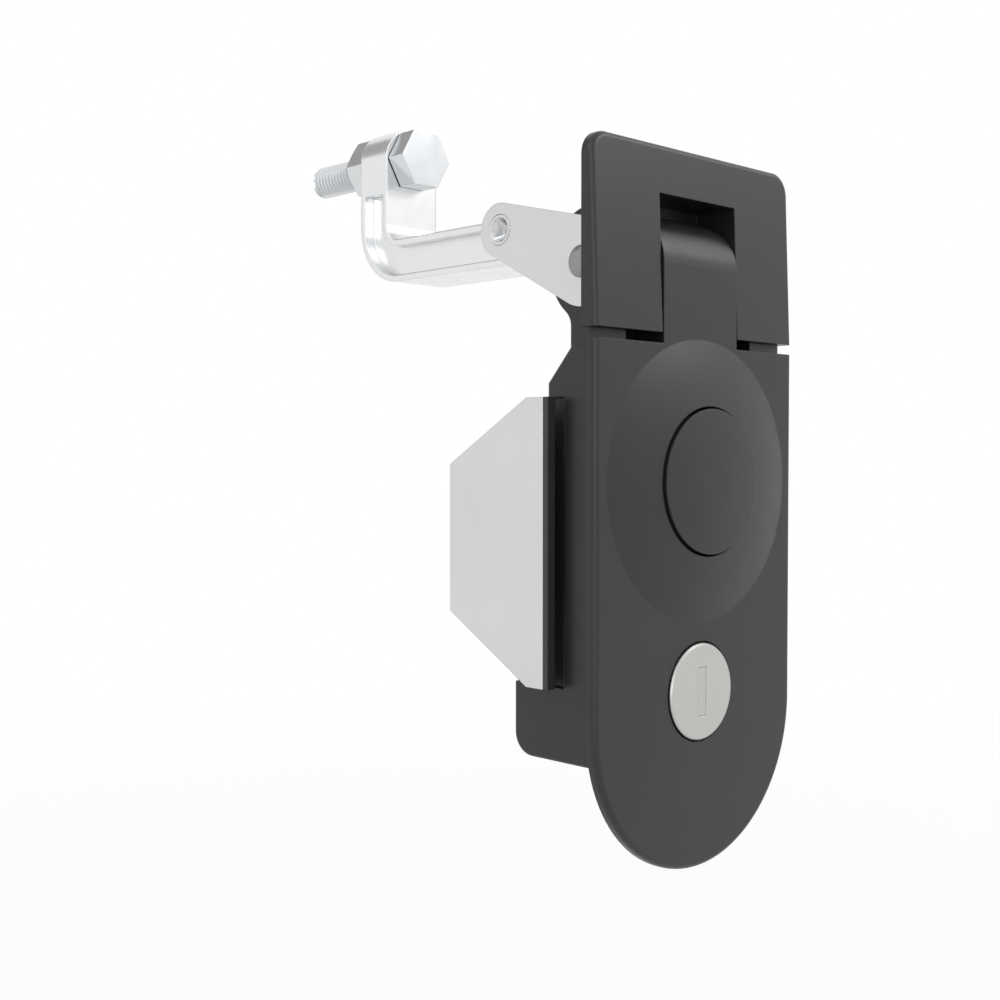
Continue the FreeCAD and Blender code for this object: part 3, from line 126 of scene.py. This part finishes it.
def moulded_plastic(name, dark, light, rough, ior, corner_mm):
    """Plastic whose colour and gloss drift with the flow of the melt, under the mould's fine grain."""
    material, tree, place = new_material(name)
    colour = clouded_colour(tree, place, dark, light, FLOW_MM)
    gloss = uneven_gloss(tree, place, rough, SKIN_PATCH_MM, detail=3.0)
    # the eroded grain is near 0.05 mm, drawn at GRAIN_MM so that it shows
    grain = add(tree, "ShaderNodeTexNoise", {"Vector": place}, Scale=1 / (GRAIN_MM * MM), Detail=1.0)
    close_surface(tree, colour, gloss, grain, GRAIN_STRENGTH, GRAIN_DEPTH_MM, corner_mm, IOR=ior)
    return material


def dress(material, *nodes):
    """Give CAD nodes a material in place of their plain one."""
    for node in nodes:
        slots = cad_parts[node].data.materials
        slots.clear()
        slots.append(material)


black_polyamide = moulded_plastic(
    "satin black polyamide", "#1a1a1b", "#202021", rough=0.36, ior=1.5, corner_mm=0.25
)
dress(black_polyamide, "housing")


# Lever and its cover plate: mouldings of the same black polyamide. The lever's tongue curls round the
# main pin, and the cover is screwed on the lever's back.
dress(black_polyamide, "lever", "lever_cover")


# Push button: moulded in the same polyamide, a cap that follows the dome, with a skirt and two legs
# behind it. This copy of the solid ends its crown in one small face, because the solid's slivers meet
# there in a bright dot.
WELD = 0.001 * MM
SLIVER_WELD = 0.002 * MM
CROWN_RADIUS = 1.0 * MM
CROWN_DEPTH = 0.1 * MM


def finish_piece(shape, name, body, material, sharp_degrees=30):
    """Close a bmesh into an object that rides on a body, smooth across shallow edges."""
    bmesh.ops.remove_doubles(shape, verts=shape.verts, dist=WELD)
    bmesh.ops.recalc_face_normals(shape, faces=shape.faces)
    mesh = bpy.data.meshes.new(name)
    shape.to_mesh(mesh)
    shape.free()
    mesh.shade_smooth()
    mesh.set_sharp_from_angle(angle=math.radians(sharp_degrees))
    mesh.materials.clear()
    mesh.materials.append(material)
    piece = bpy.data.objects.new(name, mesh)
    bpy.context.scene.collection.objects.link(piece)
    piece.modifiers.new("flat faces stay flat", "WEIGHTED_NORMAL").keep_sharp = True
    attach(piece, body)
    return piece


button_low, button_high = [Vector(corner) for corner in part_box("push_button")]
button_height = (button_low.z + button_high.z) / 2
shape = bmesh.new()
shape.from_mesh(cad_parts["push_button"].data)
bmesh.ops.remove_doubles(shape, verts=shape.verts, dist=SLIVER_WELD)
crown = [
    vert for vert in shape.verts
    if vert.co.y < button_low.y + CROWN_DEPTH
    and math.hypot(vert.co.x, vert.co.z - button_height) < CROWN_RADIUS
]
bmesh.ops.dissolve_verts(shape, verts=crown)
button_cap = finish_piece(shape, "button_cap", "button_body", black_polyamide)
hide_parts("push_button")


# Catch slide: the fork inside the lever, moulded in plain grey acetal, which slides without grease
# and has the faint waxy shine of that plastic.
grey_acetal = moulded_plastic(
    "waxy grey acetal", "#7c7e80", "#86888a", rough=0.42, ior=1.48, corner_mm=0.15
)
dress(grey_acetal, "catch_slide")


# Pads on the bracket's front edges: strips of black rubber pushed over the plate's edge, dull, so they catch
# hardly any highlight. Their black is drawn lighter than the housing's, painted light that lifts them out of
# the shade by the housing.
black_rubber = moulded_plastic(
    "dull black rubber", "#2f2f30", "#363637", rough=0.55, ior=1.5, corner_mm=0.25
)
dress(black_rubber, "bracket_pad_left", "bracket_pad_right")


# Mounting bracket, links and lock cam: pressed steel sheet, then bright zinc plated. The plating keeps
# the faint lines of the rolled sheet, which run the same way on every face, and is clouded by a few
# shades.
CLOUD_MM = 14
STAIN_MM = 5
LINE_STRETCH = 0.06
LINE_DEPTH_MM = 0.01


def plated_metal(name, dark, light, rough, line_mm, line_strength, corner_mm):
    """Metal with clouds in its plating, over the faint lines that rolling or turning leaves."""
    material, tree, place = new_material(name)
    colour = clouded_colour(tree, place, dark, light, CLOUD_MM)
    gloss = uneven_gloss(tree, place, rough, STAIN_MM, detail=2.0)
    # rolling and turning lines are finer than 0.1 mm, drawn at line_mm so that they show
    drawn = add(tree, "ShaderNodeMapping", {"Vector": place}, Scale=(1.0, 1.0, LINE_STRETCH))
    lines = add(
        tree, "ShaderNodeTexNoise", {"Vector": drawn.outputs["Vector"]},
        Scale=1 / (line_mm * MM), Detail=1.0,
    )
    close_surface(tree, colour, gloss, lines, line_strength, LINE_DEPTH_MM, corner_mm, Metallic=1.0)
    return material


zinc_plate = plated_metal(
    "bright zinc plate", "#d2d3d4", "#d9dadb", rough=0.34, line_mm=0.3, line_strength=0.10, corner_mm=0.2
)
dress(zinc_plate, "mounting_bracket", "link_left", "link_right", "lock_cam")


# Screws: thread-forming steel screws, four in the cover, one on the cam, two through the bracket. Their
# zinc plating is a little glossier and bluer than the sheet's.
screw_zinc = plated_metal(
    "zinc plated screw steel", "#c2c4c6", "#cdced0",
    rough=0.28, line_mm=0.25, line_strength=0.06, corner_mm=0.12,
)
dress(screw_zinc, "cover_screws", "cam_screw", "bracket_screws")


# Main pin: turned steel, oiled and left darker than the plating. One end is a domed head, and the other
# is peened over in the housing's ear.
pin_steel = plated_metal(
    "oiled turned steel", "#8d8e90", "#9a9b9d", rough=0.30, line_mm=0.25, line_strength=0.10, corner_mm=0.6
)
dress(pin_steel, "main_pin")


# Hollow rivet and its spacer sleeves: turned steel with the same zinc plating as the links.
rivet_zinc = plated_metal(
    "zinc plated turned steel", "#cecfd0", "#d6d7d8",
    rough=0.18, line_mm=0.25, line_strength=0.06, corner_mm=0.2,
)
dress(rivet_zinc, "hook_rivet", "spacer_left", "spacer_right")


# Hook: a steel casting, tumbled smooth and zinc plated, so its edges and the rims of its pockets are
# soft. It turns on the hollow rivet and carries the adjusting bolt.
cast_zinc = plated_metal(
    "plated steel casting", "#e1e2e3", "#e9eaeb", rough=0.24, line_mm=0.8, line_strength=0.05, corner_mm=0.45
)
dress(cast_zinc, "hook")


# Adjusting bolt: M6 hexagon bolt, cold headed, its thread rolled right up to the head, then zinc
# plated. It stands in the hook's eye and is set by turning, and the nut on the hook's back locks it.
BOLT_RADIUS = 3.0 * MM
PITCH = 1.0 * MM
THREAD_DEPTH = 0.61 * MM
THREAD_STEPS = 40
TIP_CHAMFER = 0.7 * MM
HEX_EDGE = 0.15 * MM
HEAD_HEIGHT = 4.0 * MM
CUT_REACH = 1e-7
bolt_zinc = plated_metal(
    "zinc plated bolt steel", "#d4d6d8", "#dddfe1", rough=0.2, line_mm=0.3, line_strength=0.04, corner_mm=0.15
)


def threaded_rod(shape, start, end, radius, depth, pitch):
    """Screw thread about the Y axis from start to end, closed at both ends."""
    crest = pitch / 8
    root = pitch / 4
    flank = (pitch - crest - root) / 2
    profile = (
        (0, radius),
        (crest, radius),
        (crest + flank, radius - depth),
        (pitch - flank, radius - depth),
    )
    column = []
    y = start - pitch
    while y < end + pitch:
        for step, r in profile:
            column.append(shape.verts.new((0, y + step, r)))
        y += pitch
    edges = [shape.edges.new(pair) for pair in zip(column, column[1:])]
    bmesh.ops.spin(
        shape, geom=column + edges, cent=(0, 0, 0), axis=(0, 1, 0), angle=2 * math.pi,
        steps=THREAD_STEPS, dvec=(0, pitch / THREAD_STEPS, 0), use_merge=False, use_duplicate=False,
    )
    bmesh.ops.remove_doubles(shape, verts=shape.verts, dist=WELD)
    for place, side in ((start, -1), (end, 1)):
        cut = bmesh.ops.bisect_plane(
            shape, geom=shape.verts[:] + shape.edges[:] + shape.faces[:], dist=CUT_REACH,
            plane_co=(0, place, 0), plane_no=(0, side, 0), clear_outer=True,
        )
        rim = [item for item in cut["geom_cut"] if isinstance(item, bmesh.types.BMEdge)]
        bmesh.ops.contextual_create(shape, geom=rim)


bolt_low, bolt_high = [Vector(corner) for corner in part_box("adjusting_bolt")]
bolt_height = (bolt_low.z + bolt_high.z) / 2
hex_corner = (bolt_high.z - bolt_low.z) / 2 / math.cos(math.pi / 6)
rod_end = bolt_high.y - bolt_low.y
shape = bmesh.new()
threaded_rod(shape, HEAD_HEIGHT, rod_end, BOLT_RADIUS, THREAD_DEPTH, PITCH)
for vert in shape.verts:
    reach = math.hypot(vert.co.x, vert.co.z)
    most = BOLT_RADIUS - max(0.0, vert.co.y - (rod_end - TIP_CHAMFER))
    if reach > most:
        vert.co.x *= most / reach
        vert.co.z *= most / reach
head = bmesh.ops.create_cone(
    shape, cap_ends=True, segments=6, radius1=hex_corner, radius2=hex_corner, depth=HEAD_HEIGHT
)["verts"]
turn = Matrix.Rotation(math.radians(-90), 4, "X") @ Matrix.Rotation(math.radians(30), 4, "Z")
bmesh.ops.transform(shape, matrix=turn, verts=head)
bmesh.ops.translate(shape, verts=head, vec=(0, HEAD_HEIGHT / 2, 0))
edges = {edge for vert in head for edge in vert.link_edges}
edges = [edge for edge in edges if min(vert.co.y for vert in edge.verts) < HEAD_HEIGHT / 2]
bmesh.ops.bevel(
    shape, geom=edges, offset=HEX_EDGE, segments=2, profile=0.5, affect="EDGES", material=-1
)
bmesh.ops.translate(shape, verts=shape.verts, vec=(0, bolt_low.y, bolt_height))
threaded_bolt = finish_piece(shape, "threaded_bolt", "bolt_body", bolt_zinc)
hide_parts("adjusting_bolt")
dress(bolt_zinc, "lock_nut")


# Hook spring: torsion spring of 0.6 mm wire wound round the left spacer, which lifts the hook off the
# frame. Hard drawn wire, oiled, a little darker than the plating.
WIRE_RADIUS = 0.3 * MM
WIRE_SIDES = 12
COIL_TURNS = 5
COIL_STEPS = 36
spring_steel = plated_metal(
    "oiled spring wire", "#a4a5a7", "#b2b3b5", rough=0.24, line_mm=0.25, line_strength=0.05, corner_mm=0.1
)
coil_low, coil_high = [Vector(corner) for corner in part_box("hook_spring")]
coil_axis = (coil_low + coil_high) / 2
coil_radius = (coil_high.z - coil_low.z) / 2 - WIRE_RADIUS
coil_length = coil_high.x - coil_low.x - 2 * WIRE_RADIUS
shape = bmesh.new()
ring = bmesh.ops.create_circle(shape, cap_ends=True, radius=WIRE_RADIUS, segments=WIRE_SIDES)["verts"]
bmesh.ops.rotate(shape, verts=ring, cent=(0, 0, 0), matrix=Matrix.Rotation(math.radians(90), 3, "X"))
bmesh.ops.translate(shape, verts=ring, vec=(0, 0, coil_radius))
steps = COIL_TURNS * COIL_STEPS
bmesh.ops.spin(
    shape, geom=shape.verts[:] + shape.edges[:] + shape.faces[:], cent=(0, 0, 0), axis=(1, 0, 0),
    angle=2 * math.pi * COIL_TURNS, steps=steps, dvec=(coil_length / steps, 0, 0),
    use_merge=False, use_duplicate=False,
)
bmesh.ops.translate(shape, verts=shape.verts, vec=(coil_low.x + WIRE_RADIUS, coil_axis.y, coil_axis.z))
wound_spring = finish_piece(
    shape, "wound_hook_spring", "lever_body", spring_steel, sharp_degrees=60
)
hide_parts("hook_spring")


def pressed_spring(node, name):
    """A smooth-shaded copy of a coil, with a mesh of its own, that rides on the lever in place of the solid.
    """
    shape = bmesh.new()
    shape.from_mesh(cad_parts[node].data)
    piece = finish_piece(shape, name, "lever_body", spring_steel)
    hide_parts(node)
    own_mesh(piece)


pressed_spring("button_spring", "coiled_button_spring")
pressed_spring("catch_spring", "coiled_catch_spring")
dress(spring_steel, "lock_clip")


# Lock plug and barrel: die-cast zinc with satin nickel plate, warmer than the zinc plate and nearly
# even. The barrel is clipped into the lever, and the plug turns in it.
nickel = plated_metal(
    "satin nickel plate", "#c0bebb", "#c3c2c0", rough=0.34, line_mm=0.3, line_strength=0.03, corner_mm=0.3
)
dress(nickel, "lock_plug", "lock_barrel")


# Keyway shutter: a thin sprung steel plate that closes the key slot against dust. It lies almost flush
# with the plug's face and is as satin, so that the slot hardly shows.
SHUTTER_DEPTH = 0.03 * MM
SHUTTER_SIZE = (1.98 * MM, 0.5 * MM, 7.48 * MM)
SHUTTER_EDGE = 0.12 * MM
shutter_steel = plated_metal(
    "satin shutter steel", "#bcbcbb", "#c0bfbe", rough=0.34, line_mm=0.3, line_strength=0.03, corner_mm=0.15
)
plug_low, plug_high = [Vector(corner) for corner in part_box("lock_plug")]
plug_height = (plug_low.z + plug_high.z) / 2
shutter_middle = plug_low.y + SHUTTER_DEPTH + SHUTTER_SIZE[1] / 2
shape = bmesh.new()
bmesh.ops.create_cube(shape, size=1.0)
bmesh.ops.scale(shape, vec=SHUTTER_SIZE, verts=shape.verts)
bmesh.ops.bevel(
    shape, geom=shape.edges[:], offset=SHUTTER_EDGE, segments=2, profile=0.5, affect="EDGES", material=-1
)
bmesh.ops.translate(shape, verts=shape.verts, vec=(0, shutter_middle, plug_height))
finish_piece(shape, "keyway_shutter", "plug_body", shutter_steel)


# Studio floor and surround: a plain pale floor below the latch, which keeps its shadow and fades into
# the white round it, and a world that is white to look at and a little weaker as light.
FLOOR_HEIGHT = -0.16
FLOOR_HALF = 3.0
FADE_START = 0.2
FADE_END = 0.5
NEAR_WHITE = 0.85
ROOM_LIGHT = 0.75
WHITE = (1, 1, 1, 1)


def rays_that_see(tree):
    """1 for rays from the camera, a reflection or glass, and 0 for those that carry light."""
    path = add(tree, "ShaderNodeLightPath")
    mirrored = add(
        tree, "ShaderNodeMath", {0: path.outputs["Is Glossy Ray"], 1: path.outputs["Is Transmission Ray"]},
        operation="MAXIMUM",
    )
    seen = add(
        tree, "ShaderNodeMath", {0: mirrored.outputs[0], 1: path.outputs["Is Camera Ray"]},
        operation="MAXIMUM",
    )
    return seen.outputs[0]


def stage_sheet(name, half, matrix, material):
    """A square sheet of the studio, placed by a matrix."""
    shape = bmesh.new()
    bmesh.ops.create_grid(shape, x_segments=1, y_segments=1, size=half, matrix=matrix)
    mesh = bpy.data.meshes.new(name)
    shape.to_mesh(mesh)
    shape.free()
    mesh.materials.append(material)
    sheet = bpy.data.objects.new(name, mesh)
    bpy.context.scene.collection.objects.link(sheet)


floor_paint, tree, place = new_material("pale studio floor")
paint = add(tree, "ShaderNodeBsdfDiffuse", Color=linear("#f2f2f2"))
glow = add(tree, "ShaderNodeEmission", Color=WHITE, Strength=1.0)
reach = add(tree, "ShaderNodeVectorMath", {0: place}, operation="LENGTH")
fade = add(
    tree, "ShaderNodeMapRange", {"Value": reach.outputs["Value"]},
    From_Min=FADE_START, From_Max=FADE_END, To_Min=NEAR_WHITE, To_Max=1.0,
)
seen = rays_that_see(tree)
share = add(tree, "ShaderNodeMath", {0: seen, 1: fade.outputs["Result"]}, operation="MULTIPLY")
blend = add(tree, "ShaderNodeMixShader", {"Fac": share.outputs[0], 1: paint.outputs[0], 2: glow.outputs[0]})
add(tree, "ShaderNodeOutputMaterial", {"Surface": blend.outputs[0]})
stage_sheet("floor", FLOOR_HALF, Matrix.Translation((0, 0, FLOOR_HEIGHT)), floor_paint)

world = bpy.data.worlds.new("white surround")
bpy.context.scene.world = world
world.use_nodes = True
tree = world.node_tree
tree.nodes.clear()
room = add(tree, "ShaderNodeBackground", Color=WHITE, Strength=ROOM_LIGHT)
white = add(tree, "ShaderNodeBackground", Color=WHITE, Strength=1.0)
seen = rays_that_see(tree)
blend = add(tree, "ShaderNodeMixShader", {"Fac": seen, 1: room.outputs[0], 2: white.outputs[0]})
add(tree, "ShaderNodeOutputWorld", {"Surface": blend.outputs[0]})


# Grey card: a sheet of matt card high up behind on the left, out of the camera's view. The bright metal
# mirrors it, which darkens the upper sides of the bolt's head and the nut.
CARD_HALF = 0.42
CARD_REACH = 1.3
card_paint, tree, _ = new_material("grey studio card")
paint = add(tree, "ShaderNodeBsdfDiffuse", Color=linear("#c4c4c4"))
add(tree, "ShaderNodeOutputMaterial", {"Surface": paint.outputs[0]})
card_way = Vector((-0.25, 0.72, 0.66))
card_turn = card_way.to_track_quat("Z", "Y").to_matrix().to_4x4()
stage_sheet("grey card", CARD_HALF, Matrix.Translation(card_way * CARD_REACH) @ card_turn, card_paint)


# Lamps: two soft boxes above, the stronger on the right, and a tall strip light behind the camera that
# draws the thin pale lines along edges that face it.
LATCH_MIDDLE = Vector((0, 0.02, -0.045))


def soft_box(name, place, size, power):
    """A rectangular lamp aimed at the latch, its place and size in metres and its power in watts."""
    light = bpy.data.lights.new(name, "AREA")
    light.shape = "RECTANGLE"
    light.size, light.size_y = size
    light.energy = power
    lamp = bpy.data.objects.new(name, light)
    bpy.context.scene.collection.objects.link(lamp)
    lamp.location = place
    lamp.rotation_euler = (LATCH_MIDDLE - Vector(place)).to_track_quat("-Z", "Y").to_euler()


soft_box("upper right soft box", place=(0.38, -0.42, 0.36), size=(0.4, 0.3), power=1.3)
soft_box("upper left soft box", place=(-0.45, -0.05, 0.35), size=(0.35, 0.35), power=0.5)
soft_box("strip light behind the camera", place=(-0.52, -0.5, 0.02), size=(0.06, 0.6), power=0.8)


# Camera at the photograph's viewing angle, worked out from the edges of the latch's face and of the
# bracket. It is turned to the right by YAW and tipped down by DROP, in radians.
FOCAL_PIXELS = 1363.08
FRAME_PIXELS = 1000.0
SENSOR_MM = 36.0
YAW = 0.765992
DROP = 0.028702
CAMERA_PLACE = (-0.16663, -0.13173, -0.04363)
lens = bpy.data.cameras.new("camera")
lens.sensor_width = SENSOR_MM
lens.lens = FOCAL_PIXELS * SENSOR_MM / FRAME_PIXELS
lens.clip_start = 0.01
lens.clip_end = 10.0
camera = bpy.data.objects.new("camera", lens)
bpy.context.scene.collection.objects.link(camera)
ahead = Vector((math.sin(YAW) * math.cos(DROP), math.cos(YAW) * math.cos(DROP), -math.sin(DROP)))
camera.location = CAMERA_PLACE
camera.rotation_euler = ahead.to_track_quat("-Z", "Y").to_euler()
bpy.context.scene.camera = camera
bpy.context.scene.view_settings.view_transform = "Standard"
